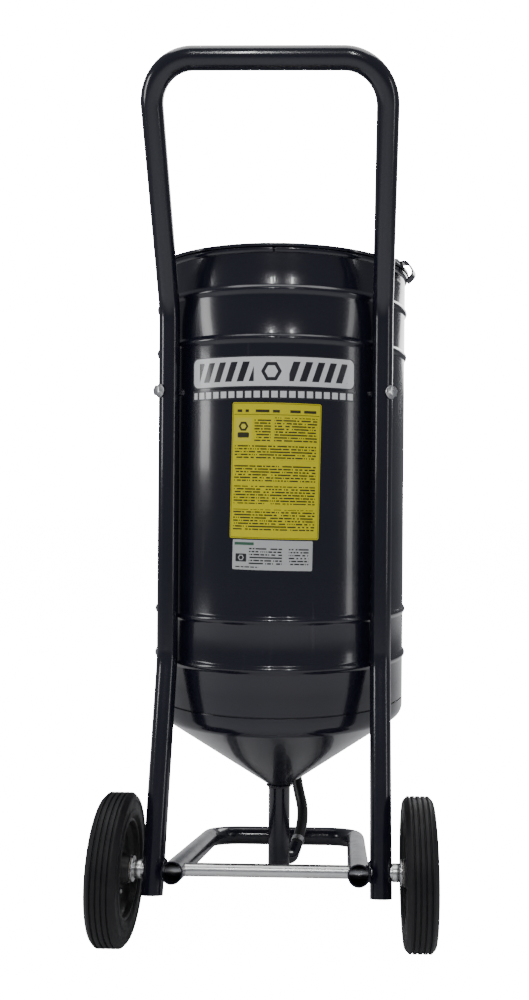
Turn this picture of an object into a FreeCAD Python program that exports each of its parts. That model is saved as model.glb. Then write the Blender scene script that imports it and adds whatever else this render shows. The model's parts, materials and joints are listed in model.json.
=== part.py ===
"""Mobile siphon-feed abrasive blaster: a drum hopper on a two-wheel tube trolley.

Frame: millimetres, +Z up, floor at Z = 0, -Y is the handle side, +X is to the right seen from the handle.
Pieces that stand round the drum are drawn about the drum's own axis and moved by tank_y.
"""
import FreeCAD, Part
import Sketcher
import math
import os
import re

Vector = FreeCAD.Vector
Rotation = FreeCAD.Rotation
Placement = FreeCAD.Placement

doc = FreeCAD.newDocument("blaster")

# ---------------------------------------------------------------- driving dimensions

DIMENSIONS = [
    ("tank_y", 35, "drum axis, in front of the middle of the whole machine"),
    ("tank_radius", 208, "outside of the drum wall"),
    ("wall", 2, "sheet thickness of drum and cone"),
    ("seam_z", 317.5, "joint between drum and conical bottom"),
    ("seam_gap", 1.4, "groove left at the joint"),
    ("shell_top_z", 1019, "middle of the rolled rim"),
    ("rim_curl", 5.5, "radius of the rolled rim"),
    ("bead_low_z", 388.5, "lowest swaged bead"),
    ("bead_high_z", 886.5, "lower one of the two upper beads"),
    ("bead_step", 73.5, "spacing inside each pair of beads"),
    ("bead_round", 8.5, "radius of a bead's section"),
    ("bead_sink", 5, "how far the bead's centre lies inside the wall"),
    ("cone_apex_z", 145.5, "where the cone's outside would close"),
    ("cone_slope", 0.7, "rise of the cone per unit of radius"),
    ("knuckle", 28, "radius between drum band and cone"),
    ("collar_height", 13, "lap of the cone's collar inside the drum"),
    ("pipe_radius", 18.5, "outlet pipe outside"),
    ("pipe_bore", 15.5, "outlet pipe inside radius"),
    ("pipe_bottom_z", 28.5, "lower end of the outlet pipe"),
    ("pipe_top_z", 163.5, "upper end of the outlet pipe"),
    ("branch_radius", 11, "outlet branch outside"),
    ("branch_bore", 7, "outlet branch inside radius"),
    ("hose_radius", 10, "media hose outside"),
    ("tube_radius", 16, "trolley tube outside"),
    ("tube_wall", 2, "trolley tube wall"),
    ("upright_x", 165, "middle of each upright"),
    ("upright_y", -158.2, "middle of the upright where it stands vertical"),
    ("bend_low_z", 395.5, "where the legs start to lean back"),
    ("bend_high_z", 936.5, "where the handle starts to lean back"),
    ("bend_radius", 110, "gentle bends in the uprights"),
    ("handle_y", -332, "middle of the handle bar"),
    ("handle_z", 1247, "middle of the handle bar"),
    ("handle_corner", 62, "bend radius of the handle corners"),
    ("leg_bottom_z", 72.5, "cut lower end of each leg"),
    ("axle_y", -251, "axle behind the drum axis"),
    ("axle_z", 106.5, "axle height"),
    ("wheel_radius", 106.5, "outside of the tread"),
    ("axle_radius", 9.5, "axle rod"),
    ("axle_half", 238, "axle rod half length"),
    ("foot_x", 132.7, "middle of each foot tube"),
    ("foot_rear_y", -285, "open rear end of the foot tubes"),
    ("foot_front_y", 149, "middle of the front bar"),
    ("foot_corner", 55, "bend radius of the foot tube corners"),
    ("wheel_x", 219, "middle plane of each wheel"),
    ("wheel_width", 44, "tread width"),
    ("tyre_bore", 70, "radius where rubber meets hub"),
    ("shoulder", 6.5, "chamfer at the tread edges"),
    ("groove_depth", 2.4, "tread groove depth"),
    ("groove_width", 2.6, "tread groove width"),
    ("rib_pitch", 7.6, "tread groove spacing"),
    ("web_half", 3, "half thickness of the hub web"),
    ("boss_radius", 19, "hub boss outside"),
    ("boss_half", 21, "inner half length of the hub boss"),
    ("boss_outer", 8.5, "outer half length of the hub boss"),
    ("bush_radius", 12.5, "wheel bush outside"),
    ("running_gap", 0.07, "radial clearance of turning fits"),
    ("split_pin", 1.7, "split pin shank radius"),
    ("bolt_z", 810.5, "height of the frame bolts"),
    ("bolt_radius", 5, "frame bolt shank"),
    ("lid_radius", 214, "lid edge"),
    ("lid_z", 1025.7, "underside of the lid edge"),
    ("lid_sheet", 1.8, "lid sheet thickness"),
    ("lid_crown", 11, "rise of the lid's middle above its edge"),
    ("latch_angle", 75, "latch position from the handle side, in degrees"),
    ("latch_pin_r", 200, "latch pin distance from the drum axis"),
    ("latch_pin_z", 1035.5, "latch pin height"),
    ("latch_width", 24, "width of a latch claw"),
    ("latch_pin", 2.2, "latch pin radius"),
    ("gun_y", 266, "barrel of the hanging gun, in front of the drum axis"),
    ("gun_z", 768.5, "barrel height of the hanging gun"),
    ("gun_inlet_x", 111, "media inlet of the gun"),
    ("gun_barrel", 15, "gun barrel radius"),
    ("front_y", 287.5, "foremost point, the tip of the gun hook"),
]

sheet = doc.addObject("Spreadsheet::Sheet", "dims")
for row, (alias, number, note) in enumerate(DIMENSIONS, start=1):
    sheet.set("A%d" % row, alias)
    sheet.set("B%d" % row, str(number))
    sheet.set("C%d" % row, note)
    sheet.setAlias("B%d" % row, alias)
doc.recompute()

nodes = []


def size(expression):
    """Value of an expression on the sheet, with sheet names written bare."""
    return float(sheet.evalExpression(expression))


def bound(expression):
    """The same expression as another object of the document has to write it."""
    names = {alias for alias, _, _ in DIMENSIONS}
    return re.sub(r"[a-z_]+", lambda word: "dims." + word[0] if word[0] in names else word[0], expression)


def keep(part, label, drum_frame=True):
    """Names a finished sub-part and moves it from the drum's axis into the machine's frame."""
    part.Label = label
    if drum_frame:
        part.Placement = Placement(Vector(0, size("tank_y"), 0), Rotation()) * part.Placement
    nodes.append(part)
    return part


# ---------------------------------------------------------------- ways of making a piece

def outline(body, role, corners, name="outline"):
    """A closed sketch of straight sides; every corner is a pair of sheet expressions."""
    sketch = body.newObject("Sketcher::SketchObject", body.Name + "_" + name)
    plane = next(item for item in body.Origin.OriginFeatures if item.Role == role)
    sketch.AttachmentSupport = [(plane, "")]
    sketch.MapMode = "FlatFace"
    spots = [Vector(size(across), size(up), 0) for across, up in corners]
    count = len(spots)
    for index, spot in enumerate(spots):
        sketch.addGeometry(Part.LineSegment(spot, spots[(index + 1) % count]), False)
    for index in range(count):
        sketch.addConstraint(Sketcher.Constraint("Coincident", index, 2, (index + 1) % count, 1))
    for index, pair in enumerate(corners):
        for kind, axis, words, value in (("DistanceX", -2, pair[0], spots[index].x),
                                         ("DistanceY", -1, pair[1], spots[index].y)):
            if words == "0":
                sketch.addConstraint(Sketcher.Constraint("PointOnObject", index, 1, axis))
            else:
                number = sketch.addConstraint(Sketcher.Constraint(kind, -1, 1, index, 1, value))
                sketch.setExpression("Constraints[%d]" % number, bound(words))
    return sketch


def revolved(name, corners, axis="V_Axis"):
    """A body turned from an outline: about Z with V_Axis, about X with H_Axis."""
    body = doc.addObject("PartDesign::Body", name)
    sketch = outline(body, "XZ_Plane", corners)
    turned = body.newObject("PartDesign::Revolution", name + "_turned")
    turned.Profile = sketch
    turned.ReferenceAxis = (sketch, [axis])
    turned.Angle = 360
    doc.recompute()
    return body


def cylinder(name, radius, height, base=("0", "0", "0"), axis=Vector(0, 0, 1)):
    """A Part cylinder with bound sizes and place, turned from Z onto an axis."""
    rod = doc.addObject("Part::Cylinder", name)
    rod.setExpression("Radius", bound(radius))
    rod.setExpression("Height", bound(height))
    rod.Placement = Placement(Vector(), Rotation(Vector(0, 0, 1), axis))
    for letter, words in zip("xyz", base):
        if words != "0":
            rod.setExpression("Placement.Base." + letter, bound(words))
    return rod


def ring_bead(name, ring, round_radius, height):
    """A torus about the Z axis."""
    torus = doc.addObject("Part::Torus", name)
    torus.setExpression("Radius1", bound(ring))
    torus.setExpression("Radius2", bound(round_radius))
    torus.setExpression("Placement.Base.z", bound(height))
    return torus


def fused(name, shapes):
    joined = doc.addObject("Part::MultiFuse", name)
    joined.Shapes = shapes
    return joined


def cut(name, base, tools):
    result = doc.addObject("Part::Cut", name)
    result.Base = base
    result.Tool = tools[0] if len(tools) == 1 else fused(name + "_tools", tools)
    return result


def group(name, solids):
    """Identical pieces that share one node."""
    bundle = doc.addObject("Part::Compound", name)
    bundle.Links = solids
    return bundle


def feature(name, shape):
    """A piece whose form follows a path in space."""
    item = doc.addObject("Part::Feature", name)
    item.Shape = shape
    return item


def bent_path(points, radii):
    """Straight runs joined by tangent arcs; radii belong to the inner points."""
    edges = []
    start = points[0]
    for index, radius in enumerate(radii, start=1):
        corner = points[index]
        inward = (corner - points[index - 1]).normalize()
        outward = (points[index + 1] - corner).normalize()
        turn = inward.getAngle(outward)
        reach = radius * math.tan(turn / 2)
        arc_start = corner - inward * reach
        arc_end = corner + outward * reach
        to_centre = (outward - inward).normalize()
        middle = corner + to_centre * (radius / math.cos(turn / 2) - radius)
        edges.append(Part.LineSegment(start, arc_start).toShape())
        edges.append(Part.Arc(arc_start, middle, arc_end).toShape())
        start = arc_end
    edges.append(Part.LineSegment(start, points[-1]).toShape())
    return Part.Wire(edges)


def rod_along(path, radius):
    """A round solid along a path."""
    first = path.Edges[0]
    begin = first.valueAt(first.FirstParameter)
    heading = first.tangentAt(first.FirstParameter)
    section = Part.Wire([Part.makeCircle(radius, begin, heading)])
    return path.makePipeShell([section], True, False)


def tube_along(path, outside, wall):
    return rod_along(path, outside).cut(rod_along(path, outside - wall))


# ---------------------------------------------------------------- drum

BEADS = ["bead_low_z", "bead_low_z + bead_step", "bead_high_z", "bead_high_z + bead_step"]
HOOK_BOLTS = [("-14", "926.5"), ("14", "926.5"), ("66", "804.5"), ("66", "832.5")]


def make_tank_shell():
    """Drum wall with swaged beads and a rolled rim, pierced for the frame and hook bolts."""
    outer = [cylinder("drum_outside", "tank_radius", "shell_top_z - seam_z", ("0", "0", "seam_z"))]
    clearing = [cylinder("drum_core", "tank_radius - wall", "shell_top_z - seam_z", ("0", "0", "seam_z"))]
    for number, height in enumerate(BEADS):
        ring = "tank_radius - bead_sink"
        outer.append(ring_bead("bead_outside_%d" % number, ring, "bead_round", height))
        clearing.append(ring_bead("bead_inside_%d" % number, ring, "bead_round - wall", height))
    outer.append(ring_bead("rim_outside", "tank_radius - wall / 2", "rim_curl", "shell_top_z"))
    clearing.append(ring_bead("rim_hollow", "tank_radius - wall / 2", "rim_curl - wall", "shell_top_z"))
    for side in (-1, 1):
        place = Vector(side * size("upright_x"), size("upright_y"), 0).normalize()
        hole = cylinder("frame_bolt_hole_%d" % (side + 1), "bolt_radius + 0.4", "60",
                        ("0", "0", "bolt_z"), place)
        hole.Placement = Placement(place * 180 + Vector(0, 0, size("bolt_z")), Rotation(Vector(0, 0, 1), place))
        clearing.append(hole)
    for number, (across, height) in enumerate(HOOK_BOLTS):
        clearing.append(cylinder("hook_bolt_hole_%d" % number, "3.4", "60",
                                 (across, "tank_radius - 40", height), Vector(0, 1, 0)))
    return keep(cut("tank_shell", fused("drum_solid", outer), clearing), "tank_shell")


make_tank_shell()


def make_tank_cone():
    """Pressed conical bottom with a straight band, a knuckle and a collar that laps inside the drum."""
    slope = "cone_slope"
    corner_z = "cone_apex_z + cone_slope * tank_radius"
    inside_drop = "wall * 1.22"
    collar = "tank_radius - wall - 0.2"
    corners = [
        ("pipe_radius + 0.05", "cone_apex_z + cone_slope * (pipe_radius + 0.05)"),
        ("tank_radius", corner_z),
        ("tank_radius", "seam_z - seam_gap"),
        (collar, "seam_z - seam_gap"),
        (collar, "seam_z + collar_height"),
        (collar + " - wall", "seam_z + collar_height"),
        (collar + " - wall", "cone_apex_z + " + inside_drop + " + " + slope + " * (" + collar + " - wall)"),
        ("pipe_radius + 0.05", "cone_apex_z + " + inside_drop + " + " + slope + " * (pipe_radius + 0.05)"),
    ]
    body = revolved("tank_cone", corners)
    turned = body.Tip
    edges = []
    for number, edge in enumerate(turned.Shape.Edges, start=1):
        at_corner = abs(edge.BoundBox.ZMax - size(corner_z)) < 0.01 and edge.BoundBox.ZLength < 0.01
        if at_corner and edge.BoundBox.XMax > size("tank_radius") - 0.1:
            edges.append("Edge%d" % number)
    knuckle = body.newObject("PartDesign::Fillet", "cone_knuckle")
    knuckle.Base = (turned, edges)
    knuckle.setExpression("Radius", "dims.knuckle")
    doc.recompute()
    return keep(body, "tank_cone")


make_tank_cone()

# ---------------------------------------------------------------- outlet and hose

HOSE = [
    Vector(27, 42, 36.5), Vector(42, 94, 66.5), Vector(22, 141, 119.5), Vector(13, 188, 182.5),
    Vector(30, 236, 255.5), Vector(68, 243, 342.5), Vector(101, 235, 462.5), Vector(108, 231, 632.5),
    Vector(111, 230, 812.5), Vector(111, 231, 904.5), Vector(46, 231, 969.5), Vector(-46, 231, 969.5),
    Vector(-111, 231, 904.5), Vector(-114, 233, 762.5), Vector(-112, 236, 592.5), Vector(-111, 237, 417.5),
    Vector(-46, 238, 352.5), Vector(46, 243, 352.5), Vector(111, 254, 417.5), Vector(113, 265, 552.5),
    Vector(111, 266, 647.5), Vector(111, 266, 734.5),
]


def make_outlet():
    """Straight pipe under the cone with a bent branch for the hose and a cap below."""
    heading = (HOSE[1] - HOSE[0]).normalize()
    branch_path = bent_path([Vector(0, 0, 33.5), HOSE[0] - heading * 26, HOSE[0]], [16])
    pipe = Part.makeCylinder(size("pipe_radius"), size("pipe_top_z - pipe_bottom_z") + 12,
                             Vector(0, 0, size("pipe_bottom_z") - 12))
    pipe = pipe.fuse(rod_along(branch_path, size("branch_radius")))
    bore = Part.makeCylinder(size("pipe_bore"), 200, Vector(0, 0, size("pipe_bottom_z") - 20))
    bore = bore.fuse(rod_along(branch_path, size("branch_bore")))
    pipe = pipe.cut(bore).removeSplitter()
    keep(feature("outlet_pipe", pipe), "outlet_pipe")
    bottom = "pipe_bottom_z - 12"
    cap = revolved("clean_out_cap", [
        ("0", bottom + " - 9"), ("pipe_radius - 6", bottom + " - 9"), ("pipe_radius - 2", bottom + " - 5"),
        ("pipe_radius - 2", bottom + " - 0.2"), ("pipe_bore - 0.1", bottom + " - 0.2"),
        ("pipe_bore - 0.1", bottom + " + 3"), ("0", bottom + " + 3")])
    keep(cap, "clean_out_cap")
    keep(feature("outlet_hose_clamp", band_clamp(HOSE[0] + heading * 12, heading)), "outlet_hose_clamp")


def band_clamp(middle, heading):
    """Worm-drive band with its screw housing, round a hose whose line runs along heading."""
    inside = size("hose_radius") + 0.15
    band = Part.makeCylinder(inside + 1.2, 9, Vector(0, 0, -4.5))
    band = band.fuse(Part.makeBox(12, 5, 7, Vector(-6, inside - 0.5, -3.5)))
    band = band.fuse(Part.makeCylinder(3, 15, Vector(-8, inside + 3.5, 0), Vector(1, 0, 0)))
    band = band.cut(Part.makeCylinder(inside, 12, Vector(0, 0, -6))).removeSplitter()
    band.Placement = Placement(middle, Rotation(Vector(0, 0, 1), heading))
    return band


def make_hose():
    """Rubber media hose: outlet, up the front, over the hose hook, down in a bight and up to the gun."""
    radii = []
    for before, here, after in zip(HOSE, HOSE[1:], HOSE[2:]):
        shorter = min((here - before).Length, (after - here).Length)
        turn = (here - before).getAngle(after - here)
        radii.append(0.45 * shorter / math.tan(turn / 2))
    path = bent_path(HOSE, radii)
    hose = rod_along(path, size("hose_radius"))
    expected = math.pi * size("hose_radius") ** 2 * path.Length
    print("hose length %.0f, radii %s" % (path.Length, [round(radius) for radius in radii]))
    print("hose volume ratio %.4f" % (hose.Volume / expected))
    keep(feature("media_hose", hose), "media_hose")
    heading = (HOSE[-1] - HOSE[-2]).normalize()
    keep(feature("gun_hose_clamp", band_clamp(HOSE[-1] - heading * 12, heading)), "gun_hose_clamp")


make_outlet()
make_hose()

# ---------------------------------------------------------------- trolley


def axle_bore(clearance):
    radius = size("axle_radius") + clearance
    return Part.makeCylinder(radius, 600, Vector(-300, size("axle_y"), size("axle_z")), Vector(1, 0, 0))


def make_frame_tube():
    """One bent tube: leg, upright, handle bar, upright, leg."""
    across = size("upright_x")
    lean = (size("upright_y") - size("axle_y")) / (size("bend_low_z") - size("axle_z"))
    leg_y = size("upright_y") - lean * size("bend_low_z - leg_bottom_z")
    side = [
        Vector(0, leg_y, size("leg_bottom_z")), Vector(0, size("upright_y"), size("bend_low_z")),
        Vector(0, size("upright_y"), size("bend_high_z")), Vector(0, size("handle_y"), size("handle_z")),
    ]
    left = [spot + Vector(-across, 0, 0) for spot in side]
    right = [spot + Vector(across, 0, 0) for spot in reversed(side)]
    gentle = size("bend_radius")
    corner = size("handle_corner")
    path = bent_path(left + right, [gentle, gentle, corner, corner, gentle, gentle])
    tube = tube_along(path, size("tube_radius"), size("tube_wall")).cut(axle_bore(0.1))
    for sign in (-1, 1):
        place = Vector(sign * across, size("upright_y"), 0).normalize()
        start = place * 190 + Vector(0, 0, size("bolt_z"))
        tube = tube.cut(Part.makeCylinder(size("bolt_radius") + 0.4, 70, start, place))
    keep(feature("frame_tube", tube), "frame_tube")


def make_foot_tube():
    """U-shaped foot: open behind the axle, sloping down to a bar that rests on the floor."""
    front = Vector(0, size("foot_front_y"), size("tube_radius"))
    axle = Vector(0, size("axle_y"), size("axle_z"))
    rear = front + (axle - front) * ((size("foot_rear_y") - front.y) / (axle.y - front.y))
    across = Vector(size("foot_x"), 0, 0)
    path = bent_path([rear - across, front - across, front + across, rear + across],
                     [size("foot_corner"), size("foot_corner")])
    tube = tube_along(path, size("tube_radius"), size("tube_wall")).cut(axle_bore(0.1))
    keep(feature("foot_tube", tube), "foot_tube")


make_frame_tube()
make_foot_tube()


def stub(name, radius, start, finish, bore=None):
    """A short round piece about the axle, from start to finish along X."""
    place = (start, "axle_y", "axle_z")
    piece = cylinder(name, radius, "abs(" + finish + " - (" + start + "))", place, Vector(1, 0, 0))
    if bore is None:
        return piece
    hole = cylinder(name + "_bore", bore, "abs(" + finish + " - (" + start + "))", place, Vector(1, 0, 0))
    return cut(name + "_ring", piece, [hole])


def both_sides(name, radius, near, far, bore=None):
    """The same ring on both ends of the axle, from near to far counted from the middle."""
    right = stub(name + "_right", radius, near, far, bore)
    left = stub(name + "_left", radius, "-(" + far + ")", "-(" + near + ")", bore)
    return keep(group(name, [left, right]), name)


both_sides("axle_spacers", "13", "upright_x + tube_radius + 0.3", "upright_x + tube_radius + 11", "axle_radius + 0.02")
both_sides("inner_washers", "18", "wheel_x - boss_half - 4.3", "wheel_x - boss_half - 1.8", "axle_radius + 0.02")
both_sides("outer_washers", "16", "wheel_x + boss_outer + 0.3", "wheel_x + boss_outer + 2.3", "axle_radius + 0.02")


def make_axle():
    """Bright axle rod, drilled across at each end for the split pins that hold the wheels on."""
    rod = stub("axle_stock", "axle_radius", "-axle_half", "axle_half")
    holes = []
    pins = []
    for side in (-1, 1):
        distance = "%d * (wheel_x + boss_outer + 4.6)" % side
        holes.append(cylinder("pin_hole_%d" % (side + 1), "split_pin + 0.2", "4 * axle_radius",
                              (distance, "axle_y", "axle_z - 2 * axle_radius")))
        pins.append(split_pin(Vector(size(distance), size("axle_y"), size("axle_z"))))
    keep(cut("axle_rod", rod, holes), "axle_rod")
    keep(feature("split_pins", Part.makeCompound(pins)), "split_pins")


def split_pin(spot):
    """Round shank through the axle, an eye above and two spread legs below."""
    shank = size("split_pin")
    reach = size("axle_radius") + 2.5
    pin = Part.makeCylinder(shank, 2 * reach, spot - Vector(0, 0, reach))
    pin = pin.fuse(Part.makeTorus(3, shank * 0.6, spot + Vector(0, 0, reach + 3), Vector(1, 0, 0)))
    for lean in (-1, 1):
        knee = spot - Vector(0, 0, reach - 1)
        spread = Vector(0, lean * 6, -7)
        pin = pin.fuse(Part.makeCylinder(shank * 0.7, spread.Length, knee, spread))
    return pin.removeSplitter()


make_axle()

# ---------------------------------------------------------------- wheels


def make_tyre(name, side):
    """Solid rubber tread ring with circumferential ribs."""
    half = "wheel_width / 2"
    corners = [("-(%s - 3)" % half, "tyre_bore"), ("-(%s)" % half, "tyre_bore + 5"),
               ("-(%s)" % half, "wheel_radius - shoulder"), ("-(%s) + shoulder" % half, "wheel_radius")]
    for number in range(4):
        middle = "rib_pitch * %.1f" % (number - 1.5)
        corners.append((middle + " - groove_width / 2", "wheel_radius"))
        corners.append((middle + " - groove_width / 4", "wheel_radius - groove_depth"))
        corners.append((middle + " + groove_width / 4", "wheel_radius - groove_depth"))
        corners.append((middle + " + groove_width / 2", "wheel_radius"))
    corners += [("%s - shoulder" % half, "wheel_radius"), (half, "wheel_radius - shoulder"),
                (half, "tyre_bore + 5"), ("%s - 3" % half, "tyre_bore")]
    return keep_wheel_piece(revolved(name, corners, "H_Axis"), name, side)


def make_hub(name, side):
    """Pressed hub: rim flanges, web and boss."""
    half = "wheel_width / 2 - 3.5"
    corners = [
        ("-boss_half", "bush_radius + 0.02"), ("-boss_half", "boss_radius"), ("-web_half - 5", "boss_radius + 3"),
        ("-web_half", "boss_radius + 10"), ("-web_half", "tyre_bore - 12"), ("-web_half - 6", "tyre_bore - 5"),
        ("-(%s)" % half, "tyre_bore - 4"), ("-(%s)" % half, "tyre_bore - 0.2"), (half, "tyre_bore - 0.2"),
        (half, "tyre_bore - 4"), ("web_half + 6", "tyre_bore - 5"), ("web_half", "tyre_bore - 12"),
        ("web_half", "boss_radius + 10"), ("web_half + 5", "boss_radius + 3"),
        ("boss_outer", "boss_radius + 2"), ("boss_outer", "bush_radius + 0.02"),
    ]
    return keep_wheel_piece(revolved(name, corners, "H_Axis"), name, side)


def make_bush(name, side):
    """Plain bearing bush with a small flange at the inner end."""
    bore = "axle_radius + running_gap"
    corners = [
        ("-boss_half - 1.5", bore), ("-boss_half - 1.5", "bush_radius + 3"), ("-boss_half - 0.1", "bush_radius + 3"),
        ("-boss_half - 0.1", "bush_radius"), ("boss_outer", "bush_radius"), ("boss_outer", bore),
    ]
    return keep_wheel_piece(revolved(name, corners, "H_Axis"), name, side)


def keep_wheel_piece(body, name, side):
    """Wheels are drawn with their inner end towards -X and turned round for the left side."""
    facing = Rotation() if side > 0 else Rotation(Vector(0, 0, 1), 180)
    keep(body, name, drum_frame=False)
    body.Placement = Placement(Vector(), facing)
    body.setExpression("Placement.Base.x", "dims.wheel_x" if side > 0 else "-dims.wheel_x")
    body.setExpression("Placement.Base.y", "dims.axle_y + dims.tank_y")
    body.setExpression("Placement.Base.z", "dims.axle_z")
    return body


for wheel, sign in (("wheel_left", -1), ("wheel_right", 1)):
    make_tyre(wheel + "_tyre", sign)
    make_hub(wheel + "_hub", sign)
    make_bush(wheel + "_bush", sign)

# ---------------------------------------------------------------- frame bolts


def hexagon(across_flats, height, middle, axis):
    """A hexagonal prism whose base centre is middle, standing along axis."""
    reach = across_flats / math.sqrt(3)
    points = [Vector(reach * math.cos(math.radians(60 * k)), reach * math.sin(math.radians(60 * k)), 0)
              for k in range(7)]
    prism = Part.Face(Part.makePolygon(points)).extrude(Vector(0, 0, height))
    prism.Placement = Placement(middle, Rotation(Vector(0, 0, 1), axis))
    return prism


def flat_ring(outside, inside, height, middle, axis):
    ring = Part.makeCylinder(outside, height, middle, axis)
    return ring.cut(Part.makeCylinder(inside, height * 3, middle - axis * height, axis))


def make_frame_bolts():
    """Flanged hexagon bolts driven radially through the uprights, nutted inside the drum."""
    bolts = []
    nuts = []
    washers = []
    shank = size("bolt_radius")
    for side in (-1, 1):
        place = Vector(side * size("upright_x"), size("upright_y"), 0)
        outward = Vector(place).normalize()
        head = outward * (place.Length + size("tube_radius") + 0.4) + Vector(0, 0, size("bolt_z"))
        inner_wall = outward * (size("tank_radius - wall") - 0.7) + Vector(0, 0, size("bolt_z"))
        tail = outward * (size("tank_radius") - 22) + Vector(0, 0, size("bolt_z"))
        bolt = Part.makeCylinder(shank, (head - tail).Length, tail, outward)
        bolt = bolt.fuse(Part.makeCylinder(10.5, 1.6, head, outward))
        bolt = bolt.fuse(hexagon(15, 7.5, head, outward))
        bolts.append(bolt.removeSplitter())
        washers.append(flat_ring(13, shank + 0.1, 2, inner_wall - outward * 2, outward))
        nut_base = inner_wall - outward * 10.5
        nut = hexagon(17, 8, nut_base, outward)
        nuts.append(nut.cut(Part.makeCylinder(shank + 0.05, 20, nut_base - outward * 5, outward)))
    keep(feature("frame_bolts", Part.makeCompound(bolts)), "frame_bolts")
    keep(feature("frame_bolt_washers", Part.makeCompound(washers)), "frame_bolt_washers")
    keep(feature("frame_bolt_nuts", Part.makeCompound(nuts)), "frame_bolt_nuts")


make_frame_bolts()

# ---------------------------------------------------------------- lid and latches


def make_lid():
    """Pressed lid: flat seat on the rim, a locating step inside it and a raised middle."""
    top = "lid_z + lid_sheet"
    corners = [
        ("0", "lid_z + lid_crown - lid_sheet"), ("tank_radius - 34", "lid_z + lid_crown - lid_sheet"),
        ("tank_radius - 22", "lid_z - 7"), ("tank_radius - 14", "lid_z - 7"), ("tank_radius - 10", "lid_z"),
        ("lid_radius - lid_sheet", "lid_z"), ("lid_radius - lid_sheet", "lid_z - 3"), ("lid_radius", "lid_z - 3"),
        ("lid_radius", top), ("tank_radius - 12", top), ("tank_radius - 16", "lid_z - 7 + lid_sheet"),
        ("tank_radius - 20", "lid_z - 7 + lid_sheet"), ("tank_radius - 33", "lid_z + lid_crown"),
        ("0", "lid_z + lid_crown"),
    ]
    keep(revolved("lid", corners), "lid")
    gasket_low = "shell_top_z + rim_curl + 0.3"
    keep(revolved("lid_gasket", [
        ("tank_radius - 7", gasket_low), ("tank_radius + 3", gasket_low),
        ("tank_radius + 3", "lid_z - 0.05"), ("tank_radius - 7", "lid_z - 0.05")]), "lid_gasket")


def make_lid_handle():
    """Bent-rod pull with flat feet, riveted to the middle of the lid."""
    top = size("lid_z + lid_crown")
    span = 62
    path = bent_path([Vector(-span, 0, top + 2), Vector(-span, 0, top + 34), Vector(span, 0, top + 34),
                      Vector(span, 0, top + 2)], [14, 14])
    pull = rod_along(path, 5)
    rivets = []
    for sign in (-1, 1):
        pull = pull.fuse(Part.makeBox(30, 20, 2.5, Vector(sign * span - 15, -10, top + 0.1)))
        for offset in (-10, 10):
            spot = Vector(sign * span + offset, 0, top + 2.7)
            shank = Part.makeCylinder(3.2, 1.4, spot)
            rivets.append(shank.fuse(Part.makeCone(3.2, 1.6, 1.2, spot + Vector(0, 0, 1.4))))
    keep(feature("lid_handle", pull.removeSplitter()), "lid_handle")
    keep(feature("lid_handle_rivets", Part.makeCompound(rivets)), "lid_handle_rivets")


def radial_solid(corners, width):
    """A plate with its outline in the plane of X and Z, of the given width across Y."""
    points = [Vector(across, -width / 2, up) for across, up in corners]
    return Part.Face(Part.makePolygon(points + points[:1])).extrude(Vector(0, width, 0))


def make_latch(name, angle):
    """A claw that turns on a pin at the lid's edge and grips over the rolled rim."""
    turn = Placement(Vector(), Rotation(Vector(0, 0, 1), angle - 90))
    pin_r = size("latch_pin_r")
    pin_z = size("latch_pin_z")
    width = size("latch_width")
    half = width / 2
    strip_half = 1.3
    spine = bent_path([Vector(pin_r, 0, pin_z), Vector(pin_r + 17, 0, pin_z + 2),
                       Vector(pin_r + 29, 0, pin_z - 18), Vector(pin_r + 15.5, 0, pin_z - 31)], [9, 9])
    strip_corners = [Vector(pin_r, side * half, pin_z + side * edge * strip_half)
                     for side, edge in ((-1, 1), (1, -1), (1, 1), (-1, -1))]
    strip = Part.Wire(Part.makePolygon(strip_corners + strip_corners[:1]))
    claw = spine.makePipeShell([strip], True, False)
    across = Vector(0, 1, 0)
    claw = claw.fuse(Part.makeCylinder(4.2, width, Vector(pin_r, -half, pin_z), across))
    hole = size("latch_pin") + size("running_gap")
    claw = claw.cut(Part.makeCylinder(hole, width + 10, Vector(pin_r, -half - 5, pin_z), across))
    claw = claw.removeSplitter()
    claw = claw.transformed(turn.toMatrix())
    keep(feature(name + "_claw", claw), name + "_claw")
    seat = size("lid_z + lid_sheet") + 0.1
    ears = []
    for sign in (-1, 1):
        ear = radial_solid([(pin_r - 10, seat), (pin_r + 6, seat), (pin_r + 6, pin_z + 2),
                            (pin_r + 2, pin_z + 6), (pin_r - 4, pin_z + 6)], 2)
        ears.append(ear.translated(Vector(0, sign * (half + 1.4), 0)))
    plate = Part.makeBox(10, width + 4.8, 1.6, Vector(pin_r - 16, -half - 2.4, seat))
    bracket = plate.fuse(ears[0]).fuse(ears[1])
    pin_hole = Part.makeCylinder(size("latch_pin"), width + 20, Vector(pin_r, -half - 10, pin_z), across)
    bracket = bracket.cut(pin_hole).removeSplitter()
    pin = Part.makeCylinder(size("latch_pin") - 0.02, width + 5.6, Vector(pin_r, -half - 2.8, pin_z), across)
    for sign in (-1, 1):
        head = Vector(pin_r, sign * (half + 3) - 0.5, pin_z)
        pin = pin.fuse(Part.makeCylinder(size("latch_pin") + 1.2, 1, head, across))
    return bracket.transformed(turn.toMatrix()), pin.transformed(turn.toMatrix())


def make_latches():
    brackets = []
    pins = []
    for name, extra in (("latch_right", 0), ("latch_left", 180)):
        bracket, pin = make_latch(name, size("latch_angle") + extra)
        brackets.append(bracket)
        pins.append(pin)
    keep(feature("latch_brackets", Part.makeCompound(brackets)), "latch_brackets")
    keep(feature("latch_pins", Part.makeCompound(pins)), "latch_pins")


make_lid()
make_lid_handle()
make_latches()

# ---------------------------------------------------------------- hooks


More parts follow.
